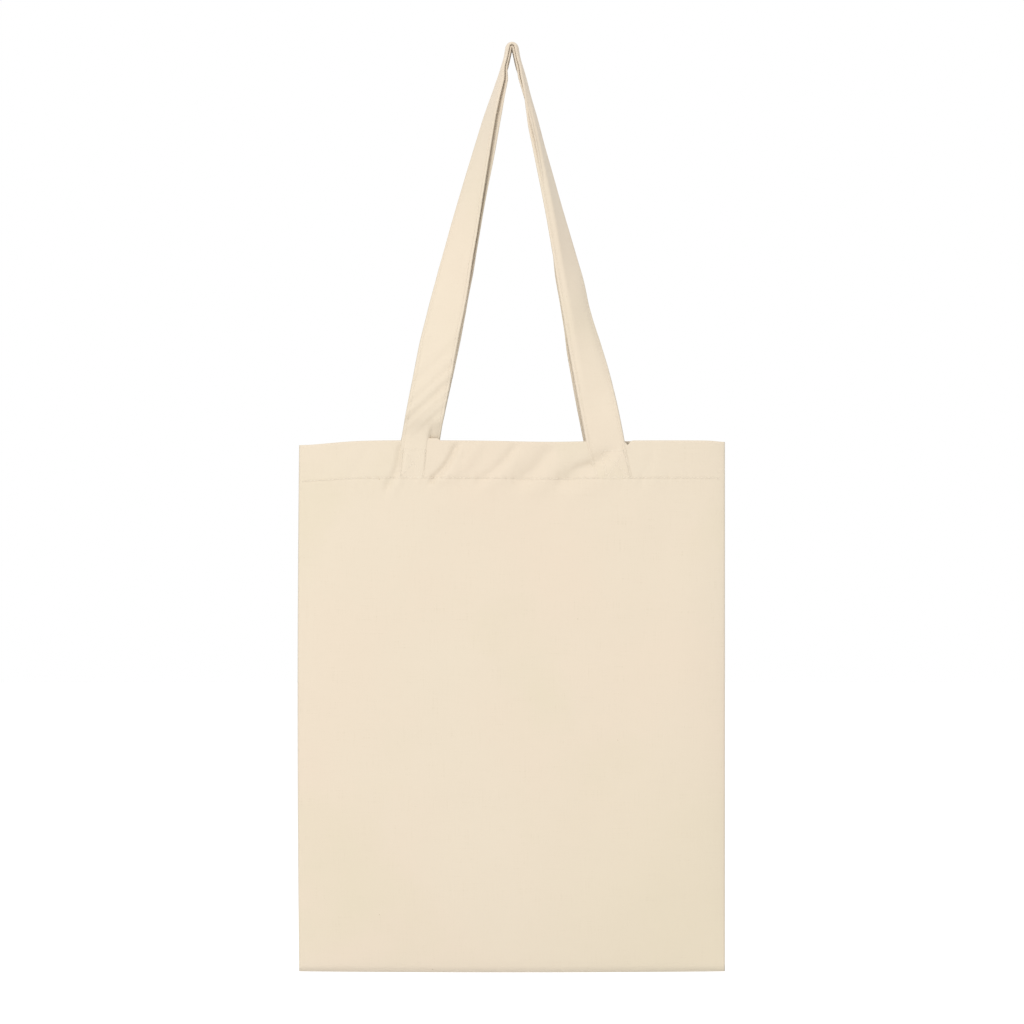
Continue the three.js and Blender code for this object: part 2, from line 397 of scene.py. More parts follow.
def cotton_colour(nodes, uv, flat, tone, weave, slub):
    """Soft patches of tone and deeper thin yarns, with painted shade in the gaps between the yarns and over
    the lower right of the panels.
    """
    pinker, greener, deeper = (
        tuple(c * k for c, k in zip(tone, share)) for share in (PINKER, GREENER, DEEPER)
    )
    base = nodes.mix(nodes.ramp(nodes.noise(uv, 4.5, 4.0), 0.42, 0.60), tone, pinker)
    base = nodes.mix(nodes.ramp(nodes.noise(uv, 6.5, 5.0), 0.52, 0.66), base, greener)

    # Painted shade: the lower right of both panels is a shade greener and darker.
    right = nodes.ramp(flat.outputs["X"], 0.0, 0.12)
    low = nodes.ramp(flat.outputs["Y"], 0.20, 0.06)
    base = nodes.mix(nodes.math("MULTIPLY", right, low), base, greener)
    base = nodes.mix(nodes.ramp(slub, 0.42, 0.30), base, deeper)
    # Painted shade: the low gaps between the yarns are darkened.
    return nodes.mix(nodes.ramp(weave, 0.62, 0.1), base, deeper)


def with_seed_flecks(nodes, uv, base, strength):
    """A few small brown specks, each in its own cell of a Voronoi pattern."""
    cells = nodes.add("ShaderNodeTexVoronoi", {"Vector": uv, "Scale": 95.0})
    chance = nodes.add("ShaderNodeSeparateColor", {0: cells.outputs["Color"]}).outputs[0]
    near = nodes.math("LESS_THAN", cells.outputs["Distance"], 0.035)
    rare = nodes.math("GREATER_THAN", chance, 0.955)
    fleck = nodes.math("MULTIPLY", nodes.math("MULTIPLY", near, rare), 0.55 * strength)
    return nodes.mix(fleck, base, SEED_BROWN)


# %% Woven cotton
WEAVE_RELIEF = 0.10 * MM


def woven_cotton(name, tone, fleck=1.0):
    """A matt plain weave. tone is its colour, and fleck how strongly the seed specks show."""
    material = bpy.data.materials.new(name)
    nodes = Nodes(material)
    uv = nodes.add("ShaderNodeUVMap", uv_map="UVMap").outputs["UV"]
    flat = nodes.add("ShaderNodeSeparateXYZ", {0: uv})
    weave = weave_height(nodes, uv)
    slub = slub_height(nodes, flat)
    base = cotton_colour(nodes, uv, flat, tone, weave, slub)
    relief = nodes.math("ADD", weave, nodes.math("MULTIPLY", slub, 0.7))
    bumped = {"Height": relief, "Distance": WEAVE_RELIEF, "Strength": 0.8}
    inputs = {
        "Base Color": with_seed_flecks(nodes, uv, base, fleck),
        "Roughness": nodes.math("MULTIPLY_ADD", nodes.ramp(weave, 0.0, 1.0), -0.08, 0.95),
        "Normal": nodes.add("ShaderNodeBump", bumped).outputs[0],
        "Sheen Weight": 0.12,
        "Sheen Roughness": 0.5,
        "Specular IOR Level": 0.25,
    }
    shader = nodes.add("ShaderNodeBsdfPrincipled", inputs)
    nodes.add("ShaderNodeOutputMaterial", {"Surface": shader.outputs[0]})
    return material


# %% Sewing thread


def spun_thread(name, tone):
    """Two-ply thread: a fine slanting ridge along each stitch, painted shade in the grooves between the
    plies, and slightly uneven in tone.
    """
    material = bpy.data.materials.new(name)
    nodes = Nodes(material)
    uv = nodes.add("ShaderNodeUVMap", uv_map="UVMap").outputs["UV"]
    flat = nodes.add("ShaderNodeSeparateXYZ", {0: uv})
    slant = nodes.math("ADD", flat.outputs["X"], flat.outputs["Y"])
    ply = nodes.math("SINE", nodes.math("MULTIPLY", slant, 2 * math.pi * 3.0))
    fuzz = nodes.noise(uv, 14.0, 3.0)
    # Painted shade in the grooves between the plies, mixed with uneven tone from the noise.
    dark = tuple(c * k for c, k in zip(tone, (0.86, 0.84, 0.80, 1.0)))
    base = nodes.mix(nodes.ramp(nodes.math("ADD", ply, fuzz), -0.6, 0.9), dark, tone)
    surface = nodes.add("ShaderNodeBump", {"Height": ply, "Distance": 0.05 * MM, "Strength": 0.6})
    inputs = {
        "Base Color": base,
        "Roughness": nodes.math("MULTIPLY_ADD", fuzz, 0.2, 0.6),
        "Normal": surface.outputs[0],
        "Sheen Weight": 0.1,
        "Specular IOR Level": 0.35,
    }
    shader = nodes.add("ShaderNodeBsdfPrincipled", inputs)
    nodes.add("ShaderNodeOutputMaterial", {"Surface": shader.outputs[0]})
    return material


CANVAS = woven_cotton("natural_canvas", colour(0.596, 0.521, 0.417))
STRAP = woven_cotton("handle_webbing", colour(0.600, 0.524, 0.419), fleck=0.7)
THREAD = spun_thread("cotton_thread", colour(0.70, 0.625, 0.515))

# %% [markdown]
# ## The panels
#
# Each panel is folded over at the mouth: the cloth goes up the outside, turns over, comes down the
# inside as the hem, and its raw edge is turned under. A walk along the cloth from the bottom seam
# gives the height, and how far in from the outer face that bit of cloth lies.
#
# The grid is finest in the hem, where the creases are short. Solidify then gives the sheet its
# thickness.

# %% The walk along the cloth
FOLD = 0.95 * MM  # radius of the fold at the mouth
UNDER = 0.45 * MM  # radius of the raw edge's fold
INNER_HEM = HEM - 1.5 * MM
TUCK = 8 * MM

# Each stretch of the walk has a length, and its share of the grid's rows.
WALK = [
    ("body", HEIGHT - 60 * MM, 0.40),
    ("top", 60 * MM - FOLD, 0.34),
    ("fold", math.pi * FOLD, 0.06),
    ("hem", INNER_HEM, 0.13),
    ("under", math.pi * UNDER, 0.03),
    ("tuck", TUCK, 0.04),
]
LENGTHS = np.cumsum([0.0] + [stretch[1] for stretch in WALK])
SHARES = np.cumsum([0.0] + [stretch[2] for stretch in WALK])


def walk(s):
    """Height and inset of the cloth, s metres along it from the bottom seam."""
    fold_from, hem_from, under_from, tuck_from = LENGTHS[2:6]
    turn = np.clip((s - fold_from) / FOLD, 0, math.pi)
    height = np.minimum(s, fold_from) + FOLD * np.sin(turn)
    inset = FOLD * (1 - np.cos(turn))
    height = height - np.clip(s - hem_from, 0, INNER_HEM)
    turn = np.clip((s - under_from) / UNDER, 0, math.pi)
    height = height - UNDER * np.sin(turn) + np.clip(s - tuck_from, 0, TUCK)
    inset = inset - UNDER * (1 - np.cos(turn))
    return BOTTOM + height, inset


def spread_columns(u):
    """More columns near the side edges, where the cloth turns in."""
    side = 2 * u - 1
    return HALF_WIDTH * (0.985 * np.sin(side * math.pi / 2) * 0.35 + side * (1 - 0.985 * 0.35))


# %% Make a panel
INNER_CLEAR = 0.95 * MM  # the hem keeps this far from the middle plane, clear of the seams
PANEL_GRID = (268, 162)  # columns and rows
LAP, LAP_FROM, LAP_TO = 2.0 * MM, -70.5 * MM, -57 * MM
GAPE, GAPE_AT, GAPE_WIDTH = 3.6 * MM, 92 * MM, 1.9 * MM
LAP_EASE = 2.5 * MM
EDGE_DEPTH = 11 * MM  # how far down from the mouth the lap and the gape fade out


def edge_of_hem(x, z):
    """The hem laps up over the left handle, and gapes beside the right one."""
    lap = LAP * smooth((x - LAP_FROM) / LAP_EASE) * smooth((LAP_TO - x) / LAP_EASE)
    gape = -GAPE * bump(x - GAPE_AT, GAPE_WIDTH)
    return (lap + gape) * smooth(1 - (MOUTH - z) / EDGE_DEPTH)


def make_panel(side):
    facing = WALLS[side]["facing"]

    def place(u, v):
        x = spread_columns(u)
        z, inset = walk(np.interp(v, SHARES, LENGTHS))
        depth = wall_depth(side, x, z)
        room = np.clip((depth - INNER_CLEAR) / (2 * FOLD), 0.08, 1)
        hung_x, hung_z = settle(x, z)
        if side == "front":
            hung_z = hung_z + edge_of_hem(x, z)
        return hung_x, facing * (depth - inset * room), hung_z

    def flat(u, v):
        return spread_columns(u), np.interp(v, SHARES, LENGTHS)

    bm = bent_grid(*PANEL_GRID, place, flat)
    bmesh.ops.recalc_face_normals(bm, faces=bm.faces)
    piece = new_piece(f"{side}_cloth", bm, CANVAS)
    thick = piece.modifiers.new("thickness", "SOLIDIFY")
    thick.thickness = CLOTH
    thick.offset = 0
    thick.use_even_offset = False
    print(piece.name, len(piece.data.polygons), "faces before it is thickened")
    return piece


cloths = {side: make_panel(side) for side in WALLS}

# %% [markdown]
# ## How the mouth opens
#
# When the mouth is pulled open, each wall swings about the bottom seam, but its edges are sewn to
# the side seams and can't follow. The cloth between has to bend from one to the other. A blend does
# this: a point follows the seams at the edge and the wall in the middle. The blend runs along one
# line, so it is laid once from each side, and the smaller of the two weights is kept.

# %% Blend a piece of wall to both side seams


def hang_between_seams(piece, side):
    """The piece follows the wall in the middle, and the side seams at both edges."""
    weights = []
    for sign in (-1, 1):
        seam = (sign * HALF_WIDTH, 0, MOUTH)
        wall = (sign * FLAT_HALF, 0, MOUTH)
        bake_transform(piece, "seams", f"{side}_wall", start=seam, end=wall)
        read = np.zeros(len(piece.data.vertices), np.float32)
        piece.data.attributes["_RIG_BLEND"].data.foreach_get("value", read)
        weights.append(read)
    piece.data.attributes["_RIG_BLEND"].data.foreach_set("value", np.minimum(*weights))


for side, piece in cloths.items():
    hang_between_seams(piece, side)
    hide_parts(f"{side}_panel", f"{side}_hem")

# %% [markdown]
# ## The handles
#
# A handle is a strip of the same cloth, folded into four layers, pressed and stitched along both
# edges. It starts square to the bag, and turns a quarter as it rises, so that it lies flat over the
# peg. Both handles turn the same way, one inside the other.
#
# The route is a smooth line seen from the front: a sewn end, a leg that bows a little, and a tight
# bend. It is walked by length, so rows of stitches can be laid on it at an even pitch.

# %% The route of a handle
PEG = 2.2 * MM
APEX_OFFSET = 0.8 * MM  # each handle lies this far from the middle plane on the peg
DRAW_IN = 2.2  # above 1, the two handles close up sooner than along straight lines

HANDLES = {
    "front": {
        "spread": (73 * MM, 74.2 * MM),
        "lean": math.radians(14),
        "bend": PEG + 1.5 * STRAP_THICK + 0.3 * MM,
    },
    "back": {
        "spread": (74.2 * MM, 73 * MM),
        "lean": math.radians(13.4),
        "bend": PEG + 0.5 * STRAP_THICK,
    },
}
END_SLANT = (math.radians(5), math.radians(13))  # of the left and the right sewn end


def bezier(a, b, c, t):
    return (1 - t) ** 2 * a + 2 * t * (1 - t) * b + t**2 * c


def leg_route(handle, leg):
    """Places along one leg, from the tip of its sewn end up to the bend over the peg."""
    spread = handle["spread"][leg]
    below = np.linspace(END_LENGTH, 1 * MM, 20)
    sewn_x = spread + below * math.tan(END_SLANT[leg])
    angle, bend = handle["lean"], handle["bend"]
    top_x, top_z = bend * math.cos(angle), bend * math.sin(angle) - PEG
    rise = (top_z - MOUTH) / 2
    t = np.linspace(0, 1, 240)
    x = bezier(spread, top_x + rise * math.tan(angle), top_x, t)
    z = bezier(MOUTH, top_z - rise, top_z, t)
    return np.concatenate([sewn_x, x]), np.concatenate([MOUTH - below, z])


def handle_route(handle):
    """The whole middle line, from the left sewn end over the peg to the right one."""
    left_x, left_z = leg_route(handle, 0)
    right_x, right_z = leg_route(handle, 1)
    turn = np.linspace(math.pi - handle["lean"], handle["lean"], 42)[1:-1]
    x = np.concatenate([-left_x, handle["bend"] * np.cos(turn), right_x[::-1]])
    z = np.concatenate([left_z, handle["bend"] * np.sin(turn) - PEG, right_z[::-1]])
    walked = np.concatenate([[0], np.cumsum(np.hypot(np.diff(x), np.diff(z)))])
    return x, z, walked


for side, handle in HANDLES.items():
    handle["route"] = handle_route(handle)
    print(f"{side} handle, folded strip: {1000 * handle['route'][2][-1]:.0f} mm long")

# %% [markdown]
# The turn of each leg is a formula of its height. The left leg turns slowly all the way up, and the
# right one is already edge-on three quarters of the way. One inner margin of each handle is bent
# forwards, so it shows as a light band. Where the strap is sewn down it takes the shape of the hem
# under it, and just above the mouth it leaves the hem for its own line.

# %% The surface of a handle
TWIST = (
    {"start": 0.16, "finish": 1.0, "ease": 1.25},
    {"start": 0.02, "finish": 0.76, "ease": 1.3},
)  # left leg, right leg
HANDLE_MIDDLE = (abs(end_low.y) + abs(end_high.y)) / 2
STITCH_ROW = 12.4 * MM  # from the middle of the strap to each row of stitching
PROUD = 0.4 * MM  # how far a sewn end stands off the hem
TUCKED = 3.2 * MM  # how far the front handle's left end goes behind the hem's edge
FULL_TURN = math.radians(84)  # nearly edge-on to the front


def turn_of(x, rise):
    """How far the strap has turned, in radians, a share rise of the way up to the peg."""
    turns = []
    for leg in TWIST:
        share = np.clip((rise - leg["start"]) / (leg["finish"] - leg["start"]), 0, 1)
        soft = share * share / (share + 0.06)  # a gentle start
        turns.append((1 - (1 - np.clip(soft * 1.06, 0, 1)) ** leg["ease"]) * FULL_TURN)
    return np.where(x < 0, turns[0], turns[1])


# Creases low on the left leg of the front handle. Each runs up and across the strap: its height
# above the mouth at the middle of the strap, its width and its depth, in millimetres.
STRAP_CREASES = [(10, 3.2, 1.1), (19, 2.6, 0.8), (30, 4.0, 1.3), (44, 3.0, 0.6), (61, 5.0, 0.6)]


LEANING = 7.2  # how far the left leg is pulled forwards above the mouth
CURL = 2.4  # how far the right leg's outer margin curls back


def strap_dents(side, x, z, across):
    """How far creases and dents lift the strap off its smooth line."""
    above = (z - MOUTH) / MM
    seed = 11.0 if side == "front" else 13.0
    leg = np.where(x < 0, 0.0, 3.0 * STRAP_HALF)
    dents = 1.5 * soft_noise(across + leg, z, 24 * MM, seed)
    dents = dents * smooth(above / 25) * smooth((190 - above) / 90)
    if side == "back":
        return MM * dents

    slant = above - 1.15 * across / MM
    pleats = np.zeros(np.broadcast(x, across).shape)
    for at, width, depth in STRAP_CREASES:
        pleats = pleats - depth * (bump(slant - at, width) - 0.5 * bump(slant - at - 2 * width, width))
    pleats = pleats * smooth((above + 2) / 8)
    leaning = LEANING * smooth(above / 30) * smooth((125 - above) / 90)
    curl = -CURL * smooth((-across / MM - 3) / 12) ** 2 * bump(above - 84, 36)
    return MM * (dents + np.where(x < 0, pleats + leaning, curl))


# Where the inner margin is bent forwards: on which leg (1 is the right one), how far from the
# middle of the strap, and from which share of the way up to which.
BENT_MARGIN = {
    "front": {"leg": 1, "starts": 8.2 * MM, "from": 0.0, "to": 0.92},
    "back": {"leg": -1, "starts": 11.0 * MM, "from": 0.55, "to": 0.97},
}
BEND_SHARE = 0.75  # how much of the leg's turn the bent margin takes back
EASED = math.radians(4)  # the front handle's right leg turns this much less near the top
CUP = 2.2 * MM  # how far the strap's edges droop below its middle, over the peg
PINCH = 0.10  # how much the two legs close up just below the peg
ROUTE_STEP = 1.5 * MM
LEAVES_HEM = 20 * MM  # the strap leaves the hem's shape over this height


def along_route(side, s):
    """The place s metres along the middle line of a handle, and the direction it runs in."""
    route_x, route_z, walked = HANDLES[side]["route"]
    x, z = np.interp(s, walked, route_x), np.interp(s, walked, route_z)
    ahead, behind = np.minimum(s + ROUTE_STEP, walked[-1]), np.maximum(s - ROUTE_STEP, 0)
    dx = np.interp(ahead, walked, route_x) - np.interp(behind, walked, route_x)
    dz = np.interp(ahead, walked, route_z) - np.interp(behind, walked, route_z)
    size = np.hypot(dx, dz)
    return x, z, dx / size, dz / size


def bent_share(side, x, rise):
    """How much of the strap's turn the bent inner margin takes back."""
    fold = BENT_MARGIN[side]
    bent = smooth((rise - fold["from"]) / 0.2) * smooth((fold["to"] - rise) / 0.15) * BEND_SHARE
    return np.where(x * fold["leg"] > 0, bent, 0.0)


def lay_on_hem(side, x, z, across, lift, px, py, pz):
    """Where it is sewn down, the strap lies on the hem, half sunk into it."""
    on_hem = 1 - smooth((z - MOUTH + 1.5 * MM) / LEAVES_HEM)
    hung_x, hung_z = settle(px, np.minimum(z, MOUTH))
    depth = wall_depth(side, px, np.minimum(z, MOUTH - 0.5 * MM))
    proud = PROUD * (0.2 + 0.8 * smooth((z - MOUTH) / END_LENGTH + 1))
    sewn_y = WALLS[side]["facing"] * (depth + CLOTH / 2 + proud - STRAP_THICK / 2) - lift
    py = py * (1 - on_hem) + sewn_y * on_hem
    px = px + (hung_x - px) * on_hem
    pz = pz + (hung_z - np.minimum(z, MOUTH)) * on_hem

    # The inner third of the front handle's left end goes behind the edge of the hem.
    if side == "front":
        behind_hem = smooth((across - 5.0 * MM) / (1.8 * MM)) * smooth((MOUTH + 16 * MM - z) / (14 * MM))
        py = py + np.where(x < 0, behind_hem * TUCKED, 0.0)
    return px, py, pz


def strap_point(side, s, across, lift):
    """A point s metres along a handle, across metres towards its inner edge, and lift metres off
    the middle of the strap, towards the front at the bottom and outwards over the peg."""
    s, across, lift = np.broadcast_arrays(s, across, lift)
    x, z, dx, dz = along_route(side, s)

    rise = np.clip((z - MOUTH) / -MOUTH, 0, 1)
    turn = turn_of(x, rise)
    if side == "front":
        turn = turn + np.where(x > 0, -EASED * bump(rise - 0.72, 0.12), 0.0)
    wide = np.cos(turn) / math.cos(HANDLES[side]["lean"])
    level = smooth((z + 14 * MM) / (-14 * MM)) * np.sign(dz)
    px = x + across * wide * level
    middle_y = APEX_OFFSET + (HANDLE_MIDDLE - APEX_OFFSET) * (1 - rise) ** DRAW_IN
    py = WALLS[side]["facing"] * middle_y - across * np.sin(turn)

    # The inner margin is bent about a line along the strap.
    past_line = across - BENT_MARGIN[side]["starts"]
    margin = np.maximum(past_line, 0.0)
    kept = turn * (1 - bent_share(side, x, rise))
    px = px + margin * (np.cos(kept) - np.cos(turn)) * level
    py = py - margin * (np.sin(kept) - np.sin(turn))
    turn = turn - (turn - kept) * smooth(past_line / (1.0 * MM) + 0.5)

    cup = CUP * (across / STRAP_HALF) ** 2 * smooth((z + 60 * MM) / (50 * MM))
    off = lift + strap_dents(side, x, z, across) - cup
    px = px - off * np.sin(turn) * dz
    py = py - off * np.cos(turn)
    pz = z + off * np.sin(turn) * dx
    px = px * (1 - PINCH * bump(z + 9 * MM, 8 * MM))
    return lay_on_hem(side, x, z, across, lift, px, py, pz)


# %% The strap's section
# The section is walked once round: the outer face, the inner edge, the inner face, the outer edge.
# The faces are a little full between the rows of stitching, and pinched at each row.
EDGE = STRAP_THICK / 2


def strap_section(w):
    """Across and lift at w, from 0 to 1 round the strap."""
    half_face, arc = 2 * (STRAP_HALF - EDGE), math.pi * EDGE
    total = 2 * (half_face + arc)
    at = (w % 1.0) * total
    stops = [0, half_face, half_face + arc, 2 * half_face + arc, total]
    turn1 = np.clip((at - stops[1]) / EDGE, 0, math.pi)
    turn2 = np.clip((at - stops[3]) / EDGE, 0, math.pi)
    run1 = np.clip(at, 0, half_face)
    run2 = np.clip(at - stops[2], 0, half_face)
    across = -half_face / 2 + run1 - run2 + EDGE * (np.sin(turn1) - np.sin(turn2))
    lift = EDGE * np.cos(turn1) * np.where(at < stops[3], 1, 0)
    lift = np.where(at < stops[3], lift, -EDGE * np.cos(turn2))
    pinch = 0.30 * bump(np.abs(across) - STITCH_ROW, 0.9 * MM)
    full = 0.12 * bump(across, 7 * MM)
    return across, lift * (1 - pinch + full)


# %% Make a strap
STRAP_GRID = (420, 44)  # steps along and round the strap


def make_strap(side):
    walked = HANDLES[side]["route"][2]
    length = walked[-1]
    peg = length / 2

    def along(u):
        """Steps are shortest over the peg, where the strap bends hard."""
        side_way = 2 * u - 1
        return peg + peg * (0.55 * side_way + 0.45 * side_way**3)

    def place(u, v):
        s = along(u)
        across, lift = strap_section(v)
        end = np.minimum(s, length - s)
        tip = np.sqrt(np.clip(end / (0.8 * MM), 0.12, 1))
        loose = 1 + 0.2 * smooth((75 * MM - np.abs(s - peg)) / (60 * MM))
        return strap_point(side, s, across, lift * tip * loose)

    def flat(u, v):
        across, lift = strap_section(v)
        return across + lift, along(u)

    bm = bent_grid(*STRAP_GRID, place, flat)
    bmesh.ops.remove_doubles(bm, verts=bm.verts, dist=0.01 * MM)
    rims = [edge for edge in bm.edges if edge.is_boundary]
    bmesh.ops.holes_fill(bm, edges=rims, sides=0)
    bmesh.ops.recalc_face_normals(bm, faces=bm.faces)
    return new_piece(f"{side}_strap", bm, STRAP)


straps = {side: make_strap(side) for side in WALLS}

# %% [markdown]
# A handle folds down over the edge of the mouth. The loop turns about that edge and the sewn ends
# stay, so the strap is blended between them over the first centimetre above it.

# %% Blend the straps across the mouth's edge
FOLD_START = (0, 0, MOUTH)
FOLD_END = (0, 0, MOUTH + 11 * MM)


def fold_at_mouth(piece, side):
    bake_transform(piece, f"{side}_wall", f"{side}_loop", start=FOLD_START, end=FOLD_END)


for side, piece in straps.items():
    fold_at_mouth(piece, side)
    ends = [f"{side}_left_handle_end", f"{side}_right_handle_end"]
    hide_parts(f"{side}_handle", *ends)
    print(piece.name, len(piece.data.polygons), "faces")

# %% [markdown]
# ## Stitches
#
# A row of lockstitch shows as short, separate threads that dive into the cloth at each end. One
# stitch is a small stretched ball with few faces, because there are hundreds of them. A row is laid
# by walking along its line at an even pitch.

# %% One stitch, and many copies of it
STITCH = 2.5 * MM
PITCH = 3.0 * MM
THREAD_RADIUS = 0.34 * MM
FINE_THREAD = 0.2 * MM  # on the straps' edges and the seam allowances


def stitch_ball():
    """A ball with its poles along X, as wide as it is long. Its UV runs along and round it."""
    bm = bmesh.new()
    uv_layer = bm.loops.layers.uv.new("UVMap")
    bmesh.ops.create_uvsphere(bm, u_segments=8, v_segments=5, radius=1)
    turn = Matrix.Rotation(math.pi / 2, 3, "Y")
    bmesh.ops.rotate(bm, verts=bm.verts, cent=(0, 0, 0), matrix=turn)
    for face in bm.faces:
        middle = face.calc_center_median()
        seam = math.atan2(middle.y, middle.z)
        for loop in face.loops:
            co = loop.vert.co
            angle = math.atan2(co.y, co.z)
            angle = seam + (angle - seam + math.pi) % (2 * math.pi) - math.pi
            loop[uv_layer].uv = (co.x, angle / math.pi)
    mesh = bpy.data.meshes.new("stitch_ball")
    bm.to_mesh(mesh)
    bm.free()
    return mesh


BALL = stitch_ball()
BALL_POINTS = np.array([vert.co for vert in BALL.vertices])


def sew(name, starts, ends, outs, radius=THREAD_RADIUS):
    """One piece with a stitch from each start to its end. outs point away from the cloth."""
    starts, ends, outs = (np.asarray(table, float) for table in (starts, ends, outs))
    holder = bpy.data.objects.new("holder", BALL)
    bpy.context.scene.collection.objects.link(holder)
    copies = holder.modifiers.new("copies", "ARRAY")
    copies.count = len(starts)
    copies.use_relative_offset = False
    ready = holder.evaluated_get(bpy.context.evaluated_depsgraph_get())
    mesh = bpy.data.meshes.new_from_object(ready)
    bpy.data.objects.remove(holder)

    along = ends - starts
    length = np.linalg.norm(along, axis=1, keepdims=True)
    x_axis = along / length
    z_axis = outs - np.sum(outs * x_axis, axis=1, keepdims=True) * x_axis
    z_axis = z_axis / np.linalg.norm(z_axis, axis=1, keepdims=True)
    y_axis = np.cross(z_axis, x_axis)
    middle = (starts + ends) / 2 + z_axis * radius * 0.35
    at = (
        middle[:, None]
        + BALL_POINTS[None, :, 0:1] * (x_axis * length / 2)[:, None]
        + BALL_POINTS[None, :, 1:2] * (y_axis * radius)[:, None]
        + BALL_POINTS[None, :, 2:3] * (z_axis * radius)[:, None]
    )
    mesh.vertices.foreach_set("co", at.astype(np.float32).ravel())
    mesh.update()
    mesh.materials.clear()
    mesh.materials.append(THREAD)
    mesh.shade_smooth()
    piece = bpy.data.objects.new(name, mesh)
    bpy.context.scene.collection.objects.link(piece)
    print(name, len(starts), "stitches")
    return piece


# %% Lay stitches along a line


def laid_along(line, outs, pitch=PITCH, stitch=STITCH):
    """Starts, ends and outward directions of even stitches along a line of close points."""
    steps = np.linalg.norm(np.diff(line, axis=0), axis=1)
    walked = np.concatenate([[0], np.cumsum(steps)])
    count = max(int(walked[-1] / pitch), 1)
    first = (walked[-1] - count * pitch) / 2 + (pitch - stitch) / 2
    s = first + pitch * np.arange(count)

    def at(table, places):
        return np.stack([np.interp(places, walked, table[:, axis]) for axis in range(3)], axis=1)

    return at(line, s), at(line, s + stitch), at(outs, s + stitch / 2)


def joined(rows):
    """Joins several rows of stitches into one."""
    return [np.concatenate(table) for table in zip(*rows)]


# %% Hem stitching
HEM_ROW = HEM + 0.5 * MM


def on_wall(side, x, z, lift):
    """Points on the outer face of a wall, and the directions away from it."""
    facing = WALLS[side]["facing"]
    depth = wall_depth(side, x, z) + CLOTH / 2 + lift
    hung_x, hung_z = settle(x, z)
    step = 0.5 * MM
    slope_x = (wall_depth(side, x + step, z) - wall_depth(side, x - step, z)) / (2 * step)
    slope_z = (wall_depth(side, x, z + step) - wall_depth(side, x, z - step)) / (2 * step)
    points = np.stack(np.broadcast_arrays(hung_x, facing * depth, hung_z), axis=1)
    outs = np.stack(np.broadcast_arrays(-slope_x, facing * 1.0, -slope_z), axis=1)
    return points, outs


for side in WALLS:
    x = np.linspace(-HALF_WIDTH + 2 * MM, HALF_WIDTH - 2 * MM, 900)
    points, outs = on_wall(side, x, np.full_like(x, MOUTH - HEM_ROW), 0.0)
    piece = sew(f"{side}_hem_stitches", *laid_along(points, outs))
    hang_between_seams(piece, side)
    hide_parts(f"{side}_hem_stitch")

# %% [markdown]
# The rows along the handles run from one sewn end to the other, on both edges, and show on both
# faces. Each sewn end has a box with a cross in it, which is how a load-carrying strap is fixed.

# %% Stitching along the handles
NEAR_PEG = 70 * MM  # over the peg the inner face is closed up, so it has no stitches this near it


def on_strap(side, s, across, face):
    """Points on one face of a strap, and the directions away from it."""
    lift = STRAP_THICK / 2 * 0.78
    points = np.stack(strap_point(side, s, across, face * lift), axis=1)
    inside = np.stack(strap_point(side, s, across, 0.0 * s), axis=1)
    return points, points - inside


for side in WALLS:
    length = HANDLES[side]["route"][2][-1]
    s = np.linspace(2 * MM, length - 2 * MM, 1600)
    for row, at in (("outer", -STITCH_ROW), ("inner", STITCH_ROW)):
        rows = [laid_along(*on_strap(side, s, np.full_like(s, at), 1))]
        for part in (s[s < length / 2 - NEAR_PEG], s[s > length / 2 + NEAR_PEG]):
            rows.append(laid_along(*on_strap(side, part, np.full_like(part, at), -1)))
        piece = sew(f"{side}_strap_{row}_stitches", *joined(rows), radius=FINE_THREAD)
        fold_at_mouth(piece, side)
        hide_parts(f"{side}_handle_{row}_stitch")

# %% Boxes and crosses
BOX_ACROSS = {"front": (-13.0 * MM, 5.0 * MM), "back": (-10.6 * MM, 10.6 * MM)}
BOX_LOW, BOX_HIGH = 4.5 * MM, 26.5 * MM  # from the tip of the sewn end
CROSS_PITCH, CROSS_STITCH = 2.6 * MM, 2.2 * MM


def straight(a, b, count=60):
    t = np.linspace(0, 1, count)[:, None]
    return np.array(a) * (1 - t) + np.array(b) * t


def make_cross(side, leg):
    length = HANDLES[side]["route"][2][-1]
    outer, inner = BOX_ACROSS[side]
    corners = [(BOX_LOW, outer), (BOX_LOW, inner), (BOX_HIGH, inner), (BOX_HIGH, outer)]
    lines = [straight(corners[i], corners[(i + 1) % 4]) for i in range(4)]
    lines += [straight(corners[0], corners[2]), straight(corners[1], corners[3])]
    outer_face = 1 if side == "front" else -1
    rows = []
    for line in lines:
        s = line[:, 0] if leg == "left" else length - line[:, 0]
        points, outs = on_strap(side, s, line[:, 1], outer_face)
        rows.append(laid_along(points, outs, pitch=CROSS_PITCH, stitch=CROSS_STITCH))
    piece = sew(f"{side}_{leg}_cross_stitches", *joined(rows))
    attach(piece, f"{side}_wall")
    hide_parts(f"{side}_{leg}_cross_stitch")


for side in WALLS:
    for leg in ("left", "right"):
        make_cross(side, leg)

# %% [markdown]
# ## The seams inside
#
# The panels are sewn together inside out, so the seam allowances end up inside the bag. Each is two
# layers of cloth, with thread looped over the raw edge to stop it fraying. They are only seen down
# the mouth, but they also close the fine gap between the two panels along the edge.

# %% Seam allowances
SEAM_STEP = 2.6 * MM
SEAM_GRID = (160, 6)
THREAD_CLEAR = 0.05 * MM  # between the overlock thread and the cloth


